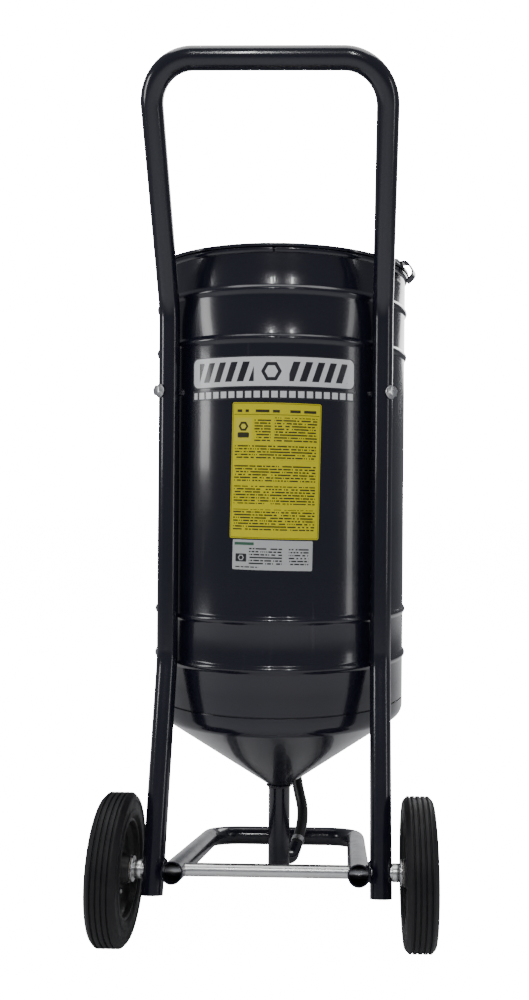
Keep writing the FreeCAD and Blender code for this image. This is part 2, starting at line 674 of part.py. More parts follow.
def make_hooks():
    """Flat-bar hooks bolted to the front of the drum, one for the hose and one for the gun."""
    face = size("tank_radius") + 4.2
    reach = 50
    rest = HOSE[10].z - size("hose_radius") - 0.4
    hose_hook = Part.makeBox(44, 3, 48, Vector(-22, face, rest - 48))
    hose_hook = hose_hook.fuse(Part.makeBox(26, reach, 3, Vector(-13, face, rest - 3)))
    hose_hook = hose_hook.fuse(Part.makeBox(26, 3, 24, Vector(-13, face + reach - 3, rest - 3)))
    gun_low = size("gun_z - gun_barrel") - 0.4
    gun_hook = Part.makeBox(22, 3, 100, Vector(55, face, gun_low - 6))
    arm = size("front_y") - face
    gun_hook = gun_hook.fuse(Part.makeBox(14, arm, 4, Vector(59, face, gun_low - 4)))
    gun_hook = gun_hook.fuse(Part.makeBox(14, 4, 22, Vector(59, face + arm - 4, gun_low - 4)))
    bolts = []
    spacers = []
    for across, height in HOOK_BOLTS:
        spot = Vector(float(across), 0, float(height))
        wall_y = math.sqrt(size("tank_radius") ** 2 - spot.x ** 2)
        outward = Vector(0, 1, 0)
        head = spot + outward * (face + 3.1)
        bolt = Part.makeCylinder(3, 26, head - outward * 26, outward).fuse(hexagon(10, 4, head, outward))
        bolts.append(bolt.removeSplitter())
        hole = Part.makeCylinder(3.2, 12, spot + outward * (face - 5), outward)
        hose_hook = hose_hook.cut(hole)
        gun_hook = gun_hook.cut(hole)
        gap = face - wall_y
        spacers.append(flat_ring(6, 3.2, gap - 0.3, spot + outward * (wall_y + 0.2), outward)
                       .cut(Part.makeCylinder(size("tank_radius") + 0.1, 60, Vector(0, 0, spot.z - 30))))
    keep(feature("hose_hook", hose_hook.removeSplitter()), "hose_hook")
    keep(feature("gun_hook", gun_hook.removeSplitter()), "gun_hook")
    keep(feature("hook_bolts", Part.makeCompound(bolts)), "hook_bolts")
    keep(feature("hook_spacers", Part.makeCompound(spacers)), "hook_spacers")


make_hooks()

# ---------------------------------------------------------------- blast gun


def make_gun():
    """Siphon gun hanging on its hook, barrel along X, grip and media inlet downwards."""
    axis_y = size("gun_y")
    axis_z = size("gun_z")
    inlet_x = size("gun_inlet_x")
    barrel = size("gun_barrel")
    along = Vector(1, 0, 0)
    body = Part.makeCylinder(barrel, 132, Vector(10, axis_y, axis_z), along)
    body = body.fuse(Part.makeCylinder(12.5, axis_z - 745.5, Vector(inlet_x, axis_y, 745.5)))
    grip = [(6, axis_z + 6), (34, axis_z + 6), (22, axis_z - 108), (-8, axis_z - 108)]
    grip_points = [Vector(across, axis_y - 12, up) for across, up in grip]
    grip_solid = Part.Face(Part.makePolygon(grip_points + grip_points[:1])).extrude(Vector(0, 24, 0))
    grip_edges = [edge for edge in grip_solid.Edges if edge.BoundBox.ZLength > 50]
    grip_solid = grip_solid.makeFillet(8, grip_edges)
    ears = Part.makeBox(20, 24, 22, Vector(36, axis_y - 12, axis_z - 26))
    body = body.fuse(grip_solid).fuse(ears)
    trigger_slot = Part.makeBox(25, 13, 18, Vector(33.5, axis_y - 6.5, axis_z - 30))
    pivot = Vector(46, axis_y, axis_z - 20)
    across = Vector(0, 1, 0)
    body = body.cut(trigger_slot).cut(Part.makeCylinder(2.5, 40, pivot - across * 20, across))
    body = body.cut(Part.makeCylinder(5, 100, Vector(60, axis_y, axis_z), along))
    body = body.cut(Part.makeCylinder(7, 60, Vector(inlet_x, axis_y, 732.5)))
    keep(feature("gun_body", body.removeSplitter()), "gun_body")
    trigger_points = [(41, axis_z - 17), (51, axis_z - 17), (54, axis_z - 40), (50, axis_z - 78), (56, axis_z - 92),
                      (52, axis_z - 94), (45, axis_z - 78), (48, axis_z - 42), (41, axis_z - 25)]
    points = [Vector(px, axis_y - 5.5, pz) for px, pz in trigger_points]
    trigger = Part.Face(Part.makePolygon(points + points[:1])).extrude(Vector(0, 11, 0))
    trigger = trigger.cut(Part.makeCylinder(2.5 + size("running_gap"), 40, pivot - across * 20, across))
    keep(feature("gun_trigger", trigger.removeSplitter()), "gun_trigger")
    pin = Part.makeCylinder(2.5 - 0.01, 27, pivot - across * 13.5, across)
    keep(feature("gun_trigger_pin", pin), "gun_trigger_pin")
    nut = hexagon(32, 18, Vector(142.2, axis_y, axis_z), along)
    nut = nut.cut(Part.makeCylinder(9.05, 40, Vector(130, axis_y, axis_z), along))
    keep(feature("gun_nozzle_nut", nut), "gun_nozzle_nut")
    nozzle = Part.makeCone(9, 8, 40, Vector(144, axis_y, axis_z), along)
    nozzle = nozzle.cut(Part.makeCylinder(3.5, 60, Vector(140, axis_y, axis_z), along))
    keep(feature("gun_nozzle", nozzle), "gun_nozzle")
    inlet = Part.makeCylinder(9.5, 10.8, Vector(inlet_x, axis_y, 734.6))
    inlet = inlet.cut(Part.makeCylinder(6, 30, Vector(inlet_x, axis_y, 722.5)))
    keep(feature("gun_media_inlet", inlet), "gun_media_inlet")
    foot = Vector(7, axis_y, axis_z - 108.2)
    fitting = hexagon(17, 9, foot - Vector(0, 0, 9), Vector(0, 0, 1))
    fitting = fitting.fuse(Part.makeCylinder(7.4, 12, foot - Vector(0, 0, 21)))
    fitting = fitting.cut(Part.makeCylinder(5.55, 40, foot - Vector(0, 0, 30)))
    keep(feature("gun_air_fitting", fitting.removeSplitter()), "gun_air_fitting")


make_gun()

# ---------------------------------------------------------------- checks and files

doc.recompute()
faults = []
for item in doc.Objects:
    if "Invalid" in item.State or "Error" in item.State:
        faults.append("%s is %s" % (item.Name, item.State))
for part in nodes:
    if part.Shape.isNull() or not part.Shape.isValid():
        faults.append("%s has no valid shape" % part.Label)
if faults:
    raise RuntimeError("; ".join(faults))

os.makedirs("parts", exist_ok=True)
for part in nodes:
    part.Shape.exportStep("parts/%s.step" % part.Label)
    box = part.Shape.BoundBox
    print("%-20s x %7.1f %7.1f  y %7.1f %7.1f  z %7.1f %7.1f  solids %d" % (
        part.Label, box.XMin, box.XMax, box.YMin, box.YMax, box.ZMin, box.ZMax, len(part.Shape.Solids)))
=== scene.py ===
"""Looks of a mobile abrasive blaster: drum hopper, bent-tube trolley, media hose and blast gun."""
import json
import math

import bmesh
import bpy
from mathutils import Matrix, Vector


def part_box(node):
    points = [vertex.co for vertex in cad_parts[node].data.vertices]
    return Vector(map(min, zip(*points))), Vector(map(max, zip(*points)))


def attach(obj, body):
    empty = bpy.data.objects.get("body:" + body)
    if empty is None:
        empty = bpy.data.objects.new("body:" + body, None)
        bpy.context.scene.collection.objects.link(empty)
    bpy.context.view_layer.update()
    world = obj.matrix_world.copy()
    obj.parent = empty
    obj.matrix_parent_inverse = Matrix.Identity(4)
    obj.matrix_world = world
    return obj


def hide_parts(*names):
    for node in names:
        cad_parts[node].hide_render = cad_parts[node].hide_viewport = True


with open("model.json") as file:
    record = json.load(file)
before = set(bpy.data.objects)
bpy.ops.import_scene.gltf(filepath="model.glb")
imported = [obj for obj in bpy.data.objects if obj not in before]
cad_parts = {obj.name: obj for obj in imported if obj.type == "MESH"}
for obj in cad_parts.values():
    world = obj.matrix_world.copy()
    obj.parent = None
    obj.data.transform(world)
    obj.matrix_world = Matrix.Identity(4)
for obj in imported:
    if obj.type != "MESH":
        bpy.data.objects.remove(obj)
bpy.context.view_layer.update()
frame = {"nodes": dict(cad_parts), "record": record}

# ---------------------------------------------------------------- places taken from the frame


def middle(node):
    low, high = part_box(node)
    return (Vector(low) + Vector(high)) / 2


def reach(node):
    low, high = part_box(node)
    return Vector(high) - Vector(low)


DRUM_Y = middle("tank_cone").y
DRUM_RADIUS = reach("tank_cone").x / 2
SHEET = 0.002
SEAM_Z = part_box("tank_shell")[0][2]
RIM_CURL = 0.0055
RIM_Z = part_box("tank_shell")[1][2] - RIM_CURL
BEAD_HEIGHTS = (0.3885, 0.462, 0.8865, 0.96)
BEAD_RISE = 0.0035
BEAD_HALF = 0.0078
CONE_APEX_Z = 0.1455
CONE_SLOPE = 0.7
SLANTED_SHEET = SHEET * 1.22
PIPE_RADIUS = 0.0185
TUBE_RADIUS = 0.016
TUBE_WALL = 0.002
UPRIGHT_X = 0.165
UPRIGHT_Y = -0.1582 + DRUM_Y
BEND_LOW_Z = 0.3955
BEND_HIGH_Z = 0.9365
GENTLE_BEND = 0.110
HANDLE_Y = -0.332 + DRUM_Y
HANDLE_Z = 1.247
HANDLE_CORNER = 0.062
LEG_BOTTOM_Z = 0.0725
AXLE = middle("axle_rod")
FOOT_X = 0.1327
FOOT_REAR_Y = -0.285 + DRUM_Y
FOOT_FRONT_Y = 0.149 + DRUM_Y
FOOT_CORNER = 0.055
WHEEL_X = middle("wheel_right_tyre").x
WHEEL_RADIUS = reach("wheel_right_tyre").z / 2
WHEEL_HALF = reach("wheel_right_tyre").x / 2
RIM_RADIUS = 0.070
HOSE_RADIUS = 0.010
LID_Z = 1.0257
LID_SHEET = 0.0018
LID_EDGE = 0.214

# ---------------------------------------------------------------- camera, lights and floor


def make_camera():
    """Stands behind the handle and a little to the right, nearly square to the trolley."""
    data = bpy.data.cameras.new("view")
    data.sensor_fit = "VERTICAL"
    data.sensor_height = 36
    data.lens = 34.2
    data.shift_x = -0.062
    camera = bpy.data.objects.new("view", data)
    camera.location = (0.111, DRUM_Y - 1.626, 0.6445)
    upright = Matrix.Rotation(math.radians(1.2), 3, "Z") @ Matrix.Rotation(math.radians(90), 3, "X")
    roll = Matrix.Rotation(math.radians(0.45), 3, "Z")
    camera.rotation_euler = (upright @ roll).to_euler()
    bpy.context.scene.collection.objects.link(camera)
    bpy.context.scene.camera = camera


def make_light(name, place, aim, wide, tall, power):
    data = bpy.data.lights.new(name, "AREA")
    data.shape = "RECTANGLE"
    data.size = wide
    data.size_y = tall
    data.energy = power
    lamp = bpy.data.objects.new(name, data)
    lamp.location = place
    lamp.rotation_euler = (Vector(aim) - Vector(place)).to_track_quat("-Z", "Y").to_euler()
    bpy.context.scene.collection.objects.link(lamp)


def make_studio():
    """White room with tall soft boxes that draw upright highlights on the drum."""
    world = bpy.data.worlds.new("studio")
    world.use_nodes = True
    tree = world.node_tree
    dim = tree.nodes["Background"]
    dim.inputs["Color"].default_value = (0.90, 0.93, 1.0, 1)
    dim.inputs["Strength"].default_value = 0.22
    backdrop = tree.nodes.new("ShaderNodeBackground")
    backdrop.inputs["Color"].default_value = (1.0, 1.0, 1.0, 1)
    backdrop.inputs["Strength"].default_value = 22.0
    rays = tree.nodes.new("ShaderNodeLightPath")
    either = tree.nodes.new("ShaderNodeMixShader")
    tree.links.new(rays.outputs["Is Camera Ray"], either.inputs[0])
    tree.links.new(dim.outputs[0], either.inputs[1])
    tree.links.new(backdrop.outputs[0], either.inputs[2])
    tree.links.new(either.outputs[0], tree.nodes["World Output"].inputs["Surface"])
    bpy.context.scene.world = world
    make_light("left_window", (-2.3, -0.95, 1.35), (0, 0, 0.8), 0.45, 1.2, 13)
    make_light("right_window", (2.3, -1.0, 1.1), (0, 0, 0.7), 0.25, 1.6, 5)
    make_light("lamp_row_left", (-0.30, -2.6, 2.35), (0, 0, 0.4), 0.08, 0.7, 12)
    make_light("lamp_row_right", (0.55, -2.6, 2.35), (0, 0, 0.4), 0.08, 0.7, 9)
    make_light("overhead", (0.0, 0.3, 3.0), (0, 0, 0.5), 2.4, 2.4, 55)
    make_light("front_soft", (1.2, 2.6, 1.8), (0, 0, 0.6), 1.4, 1.4, 30)
    mesh = bpy.data.meshes.new("floor")
    half = 30
    corners = [(-half, -half, 0), (half, -half, 0), (half, half, 0), (-half, half, 0)]
    mesh.from_pydata(corners, [], [(0, 1, 2, 3)])
    floor = bpy.data.objects.new("floor", mesh)
    bpy.context.scene.collection.objects.link(floor)
    pale = Finish("floor_pale", {"Roughness": 0.6, "Specular IOR Level": 0.2})
    grain = pale.noise(3.0, 2)
    pale.drive("Base Color", pale.mix(grain, (0.80, 0.80, 0.81), (0.84, 0.84, 0.85)))
    seen = pale.node("ShaderNodeLightPath", {}, {}, "Is Camera Ray")
    pale.shader.inputs["Emission Strength"].default_value = 1.0
    pale.drive("Emission Color", pale.mix(seen, (0, 0, 0), (16.0, 16.0, 16.0)))
    mesh.materials.append(pale.material)


# ---------------------------------------------------------------- shader expressions


class Signal:
    """One socket of a finish's tree; the usual signs on it add Math nodes."""

    def __init__(self, finish, socket):
        self.finish = finish
        self.socket = socket

    def math(self, operation, *values):
        numbered = dict(enumerate(values))
        return self.finish.node("ShaderNodeMath", {"operation": operation}, numbered)

    def __add__(self, other):
        return self.math("ADD", self, other)

    __radd__ = __add__

    def __sub__(self, other):
        return self.math("SUBTRACT", self, other)

    def __rsub__(self, other):
        return self.math("SUBTRACT", other, self)

    def __mul__(self, other):
        return self.math("MULTIPLY", self, other)

    __rmul__ = __mul__

    def __truediv__(self, other):
        return self.math("DIVIDE", self, other)

    def __gt__(self, other):
        return self.math("GREATER_THAN", self, other)

    def __lt__(self, other):
        return self.math("LESS_THAN", self, other)

    def __abs__(self):
        return self.math("ABSOLUTE", self)

    def larger(self, other):
        return self.math("MAXIMUM", self, other)

    def floor(self):
        return self.math("FLOOR", self)

    def fraction(self):
        return self.math("FRACT", self)

    def root(self):
        return self.math("SQRT", self)


class Finish:
    """A material built round one Principled shader; fixed values sit on its own sockets."""

    def __init__(self, name, fixed):
        self.material = bpy.data.materials.new(name)
        self.material.use_nodes = True
        self.tree = self.material.node_tree
        self.shader = self.tree.nodes["Principled BSDF"]
        for socket, value in fixed.items():
            self.shader.inputs[socket].default_value = value

    def node(self, kind, settings, values, out=0):
        item = self.tree.nodes.new(kind)
        for key, value in settings.items():
            setattr(item, key, value)
        for key, value in values.items():
            if isinstance(value, Signal):
                self.tree.links.new(value.socket, item.inputs[key])
            else:
                item.inputs[key].default_value = value
        return Signal(self, item.outputs[out])

    def place(self):
        return self.node("ShaderNodeTexCoord", {}, {}, "Object")

    def height(self):
        """How high a point is above the floor."""
        return self.node("ShaderNodeSeparateXYZ", {}, {0: self.place()}, "Z")

    def noise(self, scale, detail=3, stretch=(1, 1, 1), rough=0.5):
        where = self.node("ShaderNodeMapping", {}, {"Vector": self.place(), "Scale": stretch})
        values = {"Vector": where, "Scale": scale, "Detail": detail, "Roughness": rough}
        return self.node("ShaderNodeTexNoise", {}, values, "Fac")

    def ramp(self, signal, low, high):
        """0 below low, 1 above high, straight between."""
        return self.node("ShaderNodeMapRange", {}, {"Value": signal, "From Min": low, "From Max": high})

    def mix(self, mask, dark, light):
        """Colour dark where the mask is 0, light where it is 1."""
        shades = []
        for shade in (dark, light):
            shades.append(shade if isinstance(shade, Signal) else (*shade, 1))
        values = {0: mask, 6: shades[0], 7: shades[1]}
        return self.node("ShaderNodeMix", {"data_type": "RGBA"}, values, 2)

    def bump(self, relief):
        """Raises the surface by a relief in metres."""
        values = {"Height": relief, "Distance": 1.0, "Strength": 1.0}
        self.drive("Normal", self.node("ShaderNodeBump", {}, values))

    def drive(self, socket, signal):
        self.tree.links.new(signal.socket, self.shader.inputs[socket])


# ---------------------------------------------------------------- finishes


def navy_paint(name, waviness):
    """Gloss navy-black coat: orange peel, slow waviness of the sheet, dust low down and fine scuffs."""
    paint = Finish(name, {"Coat Weight": 0.35, "Coat Roughness": 0.06, "IOR": 1.5})
    cloud = paint.noise(7, 3)
    dust = paint.ramp(paint.height(), 0.42, 0.02) * paint.ramp(paint.noise(38, 5, rough=0.65), 0.42, 0.75)
    scratch = paint.ramp(paint.noise(60, 2, (1.0, 1.0, 0.05)), 0.70, 0.76)
    deep = paint.mix(cloud, (0.0068, 0.0070, 0.0150), (0.0105, 0.0108, 0.0225))
    dusty = paint.mix(dust * 0.12, deep, (0.07, 0.066, 0.062))
    paint.drive("Base Color", paint.mix(scratch * 0.12, dusty, (0.10, 0.10, 0.12)))
    paint.drive("Roughness", 0.15 + cloud * 0.06 + dust * 0.10 + scratch * 0.06)
    peel = paint.noise(620, 2)
    slow = paint.noise(9, 1)
    paint.bump(peel * 0.00006 + slow * waviness)
    return paint.material


def satin_black(name):
    paint = Finish(name, {"Coat Weight": 0.1, "Coat Roughness": 0.3})
    cloud = paint.noise(40, 4)
    dust = paint.ramp(paint.noise(90, 4, rough=0.7), 0.5, 0.8)
    paint.drive("Base Color", paint.mix(dust * 0.4, (0.010, 0.010, 0.011), (0.06, 0.057, 0.052)))
    paint.drive("Roughness", 0.36 + cloud * 0.2)
    paint.bump(paint.noise(500, 2) * 0.00008)
    return paint.material


def bright_zinc(name, stretch):
    """Zinc plate: pale blue-grey with soft drawn lines and faint warm patches."""
    plate = Finish(name, {"Metallic": 1.0})
    drawn = plate.noise(220, 3, stretch)
    cloud = plate.noise(55, 3)
    plate.drive("Base Color", plate.mix(cloud, (0.66, 0.68, 0.72), (0.80, 0.79, 0.75)))
    plate.drive("Roughness", 0.17 + drawn * 0.16 + cloud * 0.08)
    plate.bump(drawn * 0.00004)
    return plate.material


def tread_rubber():
    """Moulded tyre rubber: matt, slightly grey, dusty at the tread."""
    rubber = Finish("tread_rubber", {"Specular IOR Level": 0.3})
    cloud = rubber.noise(26, 5, rough=0.6)
    grain = rubber.noise(750, 3)
    dust = rubber.ramp(rubber.noise(70, 5, rough=0.7), 0.48, 0.80)
    shade = rubber.mix(cloud, (0.006, 0.006, 0.0075), (0.013, 0.013, 0.0155))
    rubber.drive("Base Color", rubber.mix(dust * 0.25, shade, (0.050, 0.047, 0.043)))
    rubber.drive("Roughness", 0.42 + cloud * 0.14 + dust * 0.2)
    rubber.bump(grain * 0.00012 + cloud * 0.0003)
    return rubber.material


def hose_rubber():
    rubber = Finish("hose_rubber", {"Coat Weight": 0.15, "Coat Roughness": 0.25})
    cloud = rubber.noise(60, 4)
    grain = rubber.noise(900, 2)
    rubber.drive("Base Color", rubber.mix(cloud, (0.009, 0.009, 0.010), (0.020, 0.020, 0.022)))
    rubber.drive("Roughness", 0.30 + cloud * 0.18)
    rubber.bump(grain * 0.00008)
    return rubber.material


def plain_finish(name, dark, light, rough, metallic=0.0, grain=400, relief=0.00006):
    """A finish of two near shades with a fine grain."""
    finish = Finish(name, {"Metallic": metallic})
    cloud = finish.noise(45, 4)
    fine = finish.noise(grain, 3)
    finish.drive("Base Color", finish.mix(cloud, dark, light))
    finish.drive("Roughness", rough + fine * 0.12 + cloud * 0.06)
    finish.bump(fine * relief)
    return finish.material


# ---------------------------------------------------------------- putting a piece on the machine


def publish(name, form, material, body="cart", stands_for=(), smooth=35):
    """Makes a finished piece of a bmesh, smooth with crisp corners, hangs it on its body and hides the CAD
    nodes it stands for.
    """
    mesh = bpy.data.meshes.new(name)
    form.to_mesh(mesh)
    form.free()
    mesh.shade_smooth()
    mesh.set_sharp_from_angle(angle=math.radians(smooth))
    mesh.materials.append(material)
    piece = bpy.data.objects.new(name, mesh)
    bpy.context.scene.collection.objects.link(piece)
    settle(piece, body, stands_for)
    return piece


def settle(piece, body="cart", stands_for=()):
    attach(piece, body)
    if stands_for:
        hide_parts(*stands_for)


def harden(piece):
    """Works an object's modifiers into its mesh."""
    seen = piece.evaluated_get(bpy.context.evaluated_depsgraph_get())
    mesh = bpy.data.meshes.new_from_object(seen)
    piece.modifiers.clear()
    old = piece.data
    piece.data = mesh
    bpy.data.meshes.remove(old)


# ---------------------------------------------------------------- outlines and turned pieces


def eased(corners, closed=True, steps=5):
    """Rounds an outline: every corner is (radius from the axis, height, rounding)."""
    spots = [Vector(corner[:2]) for corner in corners]
    outline = []
    count = len(spots)
    for index, corner in enumerate(corners):
        here = spots[index]
        at_end = not closed and index in (0, count - 1)
        if at_end or corner[2] == 0:
            outline.append(tuple(here))
            continue
        before = spots[index - 1] - here
        after = spots[(index + 1) % count] - here
        cut = min(corner[2], before.length * 0.45, after.length * 0.45)
        start = here + before.normalized() * cut
        end = here + after.normalized() * cut
        for step in range(steps + 1):
            share = step / steps
            near = start.lerp(here, share)
            far = here.lerp(end, share)
            outline.append(tuple(near.lerp(far, share)))
    return outline


def about_drum(radius, height, angle):
    """Angle 0 is the handle side, and it grows towards +X."""
    return Vector((radius * math.sin(angle), DRUM_Y - radius * math.cos(angle), height))


def about_wheel(side):
    def place(radius, along, angle):
        across = side * (WHEEL_X + along)
        return Vector((across, AXLE.y + radius * math.sin(angle), AXLE.z + radius * math.cos(angle)))
    return place


def lathe(outline, place, angles, closed=True):
    """Turns an outline; one that is open ends in a pole where it meets the axis."""
    form = bmesh.new()
    columns = []
    poles = {}
    for angle in angles:
        column = []
        for index, (radius, along) in enumerate(outline):
            if radius < 1e-6:
                if index not in poles:
                    poles[index] = form.verts.new(place(0, along, 0))
                column.append(poles[index])
            else:
                column.append(form.verts.new(place(radius, along, angle)))
        columns.append(column)
    rows = len(outline)
    for index, column in enumerate(columns):
        following = columns[(index + 1) % len(columns)]
        for row in range(rows if closed else rows - 1):
            above = (row + 1) % rows
            ring = [column[row], following[row], following[above], column[above]]
            corners = list(dict.fromkeys(ring))
            if len(corners) > 2:
                form.faces.new(corners)
    bmesh.ops.recalc_face_normals(form, faces=form.faces)
    return form


def turns(count):
    return [math.tau * step / count for step in range(count)]


# ---------------------------------------------------------------- drum, rim and cone


def bead_rise(height):
    """How far a swaged bead pushes the wall out at a height."""
    rise = 0
    for bead in BEAD_HEIGHTS:
        away = abs(height - bead)
        if away < BEAD_HALF:
            rise = BEAD_RISE * (0.5 + 0.5 * math.cos(math.pi * away / BEAD_HALF)) ** 0.8
    return rise


def wall_heights():
    heights = [SEAM_Z, SEAM_Z + 0.0006, SEAM_Z + 0.03]
    for bead in BEAD_HEIGHTS:
        heights += [bead + BEAD_HALF * step / 7 for step in range(-7, 8)]
    heights += [0.54, 0.62, 0.70, 0.78, 0.99]
    return sorted(heights)


def make_drum():
    """Drum wall with its beads, the rolled rim and the butt of the rim at the back."""
    wall = [(DRUM_RADIUS - (0.0006 if height == SEAM_Z else 0) + bead_rise(height), height)
            for height in wall_heights()]
    curl = []
    for step in range(25):
        angle = math.radians(-79 + 338 * step / 24)
        radius = DRUM_RADIUS - SHEET / 2 + RIM_CURL * math.cos(angle)
        curl.append((radius, RIM_Z + RIM_CURL * math.sin(angle)))
    inside = [(DRUM_RADIUS - SHEET + bead_rise(height), height) for height in reversed(wall_heights())]
    near_seam = [side * step / (1000 * DRUM_RADIUS) for side in (-1, 1) for step in (0.5, 1, 1.6, 2.3, 3.2)]
    angles = sorted(turns(264) + [angle % math.tau for angle in near_seam])
    form = lathe(wall + curl + inside, about_drum, angles)
    for vert in form.verts:
        away = math.atan2(vert.co.x, DRUM_Y - vert.co.y) * DRUM_RADIUS
        if abs(away) > 0.008:
            continue
        centre = about_drum(DRUM_RADIUS - SHEET / 2, RIM_Z, away / DRUM_RADIUS)
        if vert.co.z > RIM_Z - RIM_CURL * 0.99:
            vert.co = vert.co.lerp(centre, 0.42 * math.exp(-(away / 0.0011) ** 2))
    publish("drum_wall", form, NAVY, stands_for=["tank_shell"])


def make_cone():
    """Pressed conical bottom: straight band, knuckle, cone and the collar inside the drum."""
    corner_z = CONE_APEX_Z + CONE_SLOPE * DRUM_RADIUS
    drop = SLANTED_SHEET
    throat = PIPE_RADIUS + 0.00005
    collar = DRUM_RADIUS - SHEET - 0.0002
    gap_z = SEAM_Z - 0.0014
    corners = [
        (throat, CONE_APEX_Z + CONE_SLOPE * throat, 0), (DRUM_RADIUS, corner_z, 0.0155),
        (DRUM_RADIUS, gap_z, 0.0008), (collar, gap_z, 0), (collar, SEAM_Z + 0.013, 0.0004),
        (collar - SHEET, SEAM_Z + 0.013, 0.0004),
        (collar - SHEET, CONE_APEX_Z + drop + CONE_SLOPE * (collar - SHEET), 0.0155),
        (throat, CONE_APEX_Z + drop + CONE_SLOPE * throat, 0),
    ]
    form = lathe(eased(corners, steps=10), about_drum, turns(240))
    publish("drum_cone", form, NAVY, stands_for=["tank_cone"])


def make_lid():
    """Pressed lid with a turned-down edge, a locating step and a raised middle."""
    top = LID_Z + LID_SHEET
    low = LID_Z - 0.007
    crown = LID_Z + 0.011
    corners = [
        (0, crown - LID_SHEET, 0), (DRUM_RADIUS - 0.034, crown - LID_SHEET, 0.005),
        (DRUM_RADIUS - 0.022, low, 0.003), (DRUM_RADIUS - 0.014, low, 0.002),
        (DRUM_RADIUS - 0.010, LID_Z, 0.001), (LID_EDGE - LID_SHEET, LID_Z, 0.0004),
        (LID_EDGE - LID_SHEET, LID_Z - 0.003, 0.0003), (LID_EDGE, LID_Z - 0.003, 0.0005),
        (LID_EDGE, top, 0.0016),
        (DRUM_RADIUS - 0.012, top, 0.002), (DRUM_RADIUS - 0.016, low + LID_SHEET, 0.002),
        (DRUM_RADIUS - 0.020, low + LID_SHEET, 0.002), (DRUM_RADIUS - 0.033, crown, 0.006),
        (0.11, crown, 0), (0, crown, 0),
    ]
    form = lathe(eased(corners, closed=False), about_drum, turns(200), closed=False)
    publish("lid_plate", form, NAVY, "lid", ["lid"])


# ---------------------------------------------------------------- trolley tubes


def bent_line(points, radii):
    """Points on straight runs joined by round bends; the radii belong to the inner points."""
    line = [points[0]]
    for index, radius in enumerate(radii, start=1):
        corner = points[index]
        back = (points[index - 1] - corner).normalized()
        onward = (points[index + 1] - corner).normalized()
        half_turn = (math.pi - back.angle(onward)) / 2
        run_in = radius * math.tan(half_turn)
        centre = corner + (back + onward).normalized() * (radius / math.cos(half_turn))
        start = corner + back * run_in - centre
        end = corner + onward * run_in - centre
        steps = max(6, round(math.degrees(2 * half_turn) / 3))
        for step in range(steps + 1):
            line.append(centre + start.slerp(end, step / steps).normalized() * radius)
    line.append(points[-1])
    return line


def swept_tube(line, outside, inside, around=40):
    """A hollow tube with turned edges at its two ends, along a line of points."""
    form = bmesh.new()
    heading = (line[1] - line[0]).normalized()
    side = heading.orthogonal().normalized()
    stations = []
    soft = 0.0005
    for index, spot in enumerate(line):
        before = line[max(index - 1, 0)]
        after = line[min(index + 1, len(line) - 1)]
        fresh = (after - before).normalized()
        side = (side - fresh * side.dot(fresh)).normalized()
        stations.append((spot, fresh, side))
    rows = []

    def ring(station, radius, shift):
        spot, ahead, across = station
        up = ahead.cross(across)
        row = []
        for angle in turns(around):
            offset = across * math.cos(angle) + up * math.sin(angle)
            row.append(form.verts.new(spot + ahead * shift + offset * radius))
        rows.append(row)

    ring(stations[0], outside - soft, 0)
    ring(stations[0], outside, soft)
    for station in stations[1:-1]:
        ring(station, outside, 0)
    ring(stations[-1], outside, -soft)
    ring(stations[-1], outside - soft, 0)
    ring(stations[-1], inside, 0)
    for station in reversed(stations[1:-1]):
        ring(station, inside, 0)
    ring(stations[0], inside, 0)
    for index, row in enumerate(rows):
        following = rows[(index + 1) % len(rows)]
        for step in range(around):
            onward = (step + 1) % around
            form.faces.new((row[step], row[onward], following[onward], following[step]))
    bmesh.ops.recalc_face_normals(form, faces=form.faces)
    return form


def make_trolley():
    lean = (UPRIGHT_Y - AXLE.y) / (BEND_LOW_Z - AXLE.z)
    leg_y = UPRIGHT_Y - lean * (BEND_LOW_Z - LEG_BOTTOM_Z)
    side = [(leg_y, LEG_BOTTOM_Z), (UPRIGHT_Y, BEND_LOW_Z), (UPRIGHT_Y, BEND_HIGH_Z), (HANDLE_Y, HANDLE_Z)]
    left = [Vector((-UPRIGHT_X, *spot)) for spot in side]
    right = [Vector((UPRIGHT_X, *spot)) for spot in reversed(side)]
    bends = [GENTLE_BEND, GENTLE_BEND, HANDLE_CORNER, HANDLE_CORNER, GENTLE_BEND, GENTLE_BEND]
    form = swept_tube(bent_line(left + right, bends), TUBE_RADIUS, TUBE_RADIUS - TUBE_WALL, 48)
    publish("trolley_tube", form, NAVY_TUBE, stands_for=["frame_tube"])
    front = Vector((0, FOOT_FRONT_Y, TUBE_RADIUS))
    axle = Vector((0, AXLE.y, AXLE.z))
    rear = front + (axle - front) * ((FOOT_REAR_Y - front.y) / (axle.y - front.y))
    across = Vector((FOOT_X, 0, 0))
    corners = [rear - across, front - across, front + across, rear + across]
    line = bent_line(corners, [FOOT_CORNER, FOOT_CORNER])
    form = swept_tube(line, TUBE_RADIUS, TUBE_RADIUS - TUBE_WALL, 48)
    publish("foot_loop", form, NAVY_TUBE, stands_for=["foot_tube"])


# ---------------------------------------------------------------- wheels


